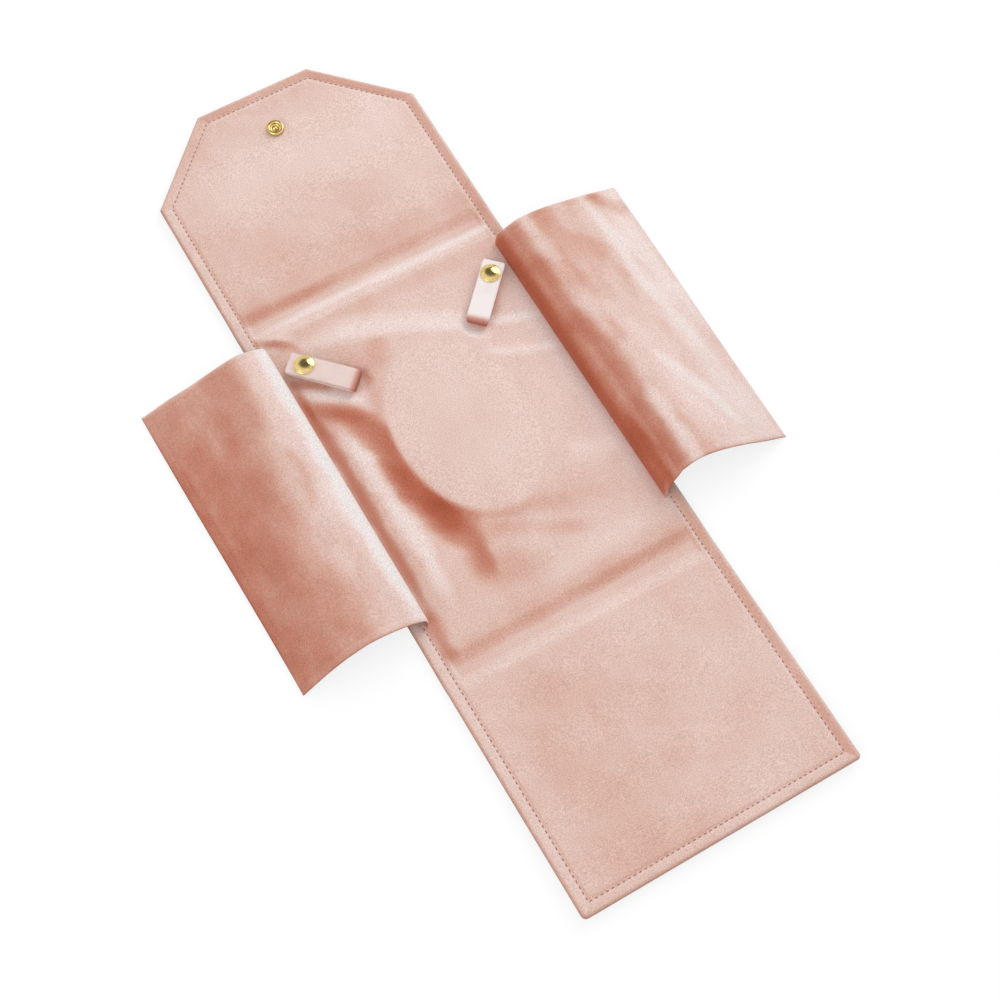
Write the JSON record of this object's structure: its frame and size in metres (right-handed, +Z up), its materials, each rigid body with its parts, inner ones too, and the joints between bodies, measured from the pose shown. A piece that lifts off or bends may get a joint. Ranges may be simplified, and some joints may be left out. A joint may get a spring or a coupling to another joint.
{
  "type": "jewelry pouch",
  "caption": "Fold-up velvet jewelry pouch laid open: snap flap with cut corners, padded middle with slanted snap straps, folding side wings and a stitched front panel.",
  "frame": {"origin": "under the centre of the middle panel, on the surface that the pouch lies on", "axes": "+X across the pouch to its right wing, +Y along the row of panels towards the flap, +Z up out of the lining"},
  "size_m": [0.2172, 0.3714, 0.0154],
  "materials": {
    "velvet": "soft short pile",
    "board": "grey-brown pressed card",
    "foam": "soft open foam",
    "brass": "polished"
  },
  "bodies": {
    "middle": {"middle_cover": "velvet", "middle_board": "board", "middle_lining": "velvet", "oval_pad": "foam", "left_strap_base": "velvet", "left_strap_fold": "velvet", "left_strap_stud": "brass", "left_strap_eyelet": "brass", "right_strap_base": "velvet", "right_strap_fold": "velvet", "right_strap_stud": "brass", "right_strap_eyelet": "brass"},
    "upper_spine": {"upper_spine_cover": "velvet", "upper_spine_lining": "velvet"},
    "flap": {"flap_cover": "velvet", "flap_board": "board", "flap_lining": "velvet", "flap_cap": "brass", "flap_socket": "brass"},
    "lower_spine": {"lower_spine_cover": "velvet", "lower_spine_lining": "velvet"},
    "front_panel": {"front_cover": "velvet", "front_board": "board", "front_lining": "velvet", "front_stud": "brass", "front_eyelet": "brass"},
    "left_wing_root": {"left_wing_root_face": "velvet", "left_wing_root_back": "velvet"},
    "left_wing_shoulder": {"left_wing_shoulder_face": "velvet", "left_wing_shoulder_back": "velvet"},
    "left_wing_panel": {"left_wing_panel_face": "velvet", "left_wing_panel_back": "velvet"},
    "right_wing_root": {"right_wing_root_face": "velvet", "right_wing_root_back": "velvet"},
    "right_wing_shoulder": {"right_wing_shoulder_face": "velvet", "right_wing_shoulder_back": "velvet"},
    "right_wing_panel": {"right_wing_panel_face": "velvet", "right_wing_panel_back": "velvet"},
    "left_tongue": {"left_strap_tongue": "velvet", "left_strap_cap": "brass", "left_strap_socket": "brass"},
    "right_tongue": {"right_strap_tongue": "velvet", "right_strap_cap": "brass", "right_strap_socket": "brass"}
  },
  "joints": [
    {"name": "flap_fold", "type": "hinge", "parent": "middle", "child": "upper_spine", "pos_m": [0, 0.07875, 0.0033], "axis": [1, 0, 0], "range_deg": [0, 90]},
    {"name": "flap_crease", "type": "hinge", "parent": "upper_spine", "child": "flap", "pos_m": [0, 0.08775, 0.0033], "axis": [1, 0, 0], "range_deg": [0, 84.95]},
    {"name": "front_fold", "type": "hinge", "parent": "middle", "child": "lower_spine", "pos_m": [0, -0.07875, 0.0033], "axis": [-1, 0, 0], "range_deg": [0, 90]},
    {"name": "front_crease", "type": "hinge", "parent": "lower_spine", "child": "front_panel", "pos_m": [0, -0.08755, 0.0033], "axis": [-1, 0, 0], "range_deg": [0, 88.8]},
    {"name": "left_wing_seam", "type": "hinge", "parent": "middle", "child": "left_wing_root", "pos_m": [-0.0536, 0.0045, 0.00315], "axis": [0, 1, 0], "range_deg": [0, 24]},
    {"name": "left_wing_fold", "type": "hinge", "parent": "left_wing_root", "child": "left_wing_shoulder", "pos_m": [-0.05669, 0.0045, 0.01009], "axis": [0, 1, 0], "range_deg": [0, 133.5]},
    {"name": "left_wing_crest", "type": "hinge", "parent": "left_wing_shoulder", "child": "left_wing_panel", "pos_m": [-0.06666, 0.0045, 0.01474], "axis": [0, 1, 0], "range_deg": [0, 43.68]},
    {"name": "right_wing_seam", "type": "hinge", "parent": "middle", "child": "right_wing_root", "pos_m": [0.0536, 0.0045, 0.00315], "axis": [0, -1, 0], "range_deg": [0, 24]},
    {"name": "right_wing_fold", "type": "hinge", "parent": "right_wing_root", "child": "right_wing_shoulder", "pos_m": [0.05669, 0.0045, 0.01009], "axis": [0, -1, 0], "range_deg": [0, 131]},
    {"name": "right_wing_crest", "type": "hinge", "parent": "right_wing_shoulder", "child": "right_wing_panel", "pos_m": [0.06666, 0.0045, 0.01474], "axis": [0, -1, 0], "range_deg": [0, 43.68]},
    {"name": "left_strap_open", "type": "hinge", "parent": "middle", "child": "left_tongue", "pos_m": [-0.02861, 0.04231, 0.00528], "axis": [-0.7193, -0.6947, 0], "range_deg": [-165, 0], "deforming": ["left_strap_fold"]},
    {"name": "right_strap_open", "type": "hinge", "parent": "middle", "child": "right_tongue", "pos_m": [0.02861, 0.04231, 0.00528], "axis": [-0.7193, 0.6947, 0], "range_deg": [-165, 0], "deforming": ["right_strap_fold"]}
  ],
  "couplings": [
    {"joint": "flap_crease", "follows": "flap_fold", "ratio": 0.9438},
    {"joint": "front_crease", "follows": "front_fold", "ratio": 0.9866},
    {"joint": "left_wing_seam", "follows": "left_wing_fold", "ratio": 0.17977},
    {"joint": "left_wing_crest", "follows": "left_wing_fold", "ratio": 0.32718},
    {"joint": "right_wing_seam", "follows": "right_wing_fold", "ratio": 0.1832},
    {"joint": "right_wing_crest", "follows": "right_wing_fold", "ratio": 0.33342}
  ]
}
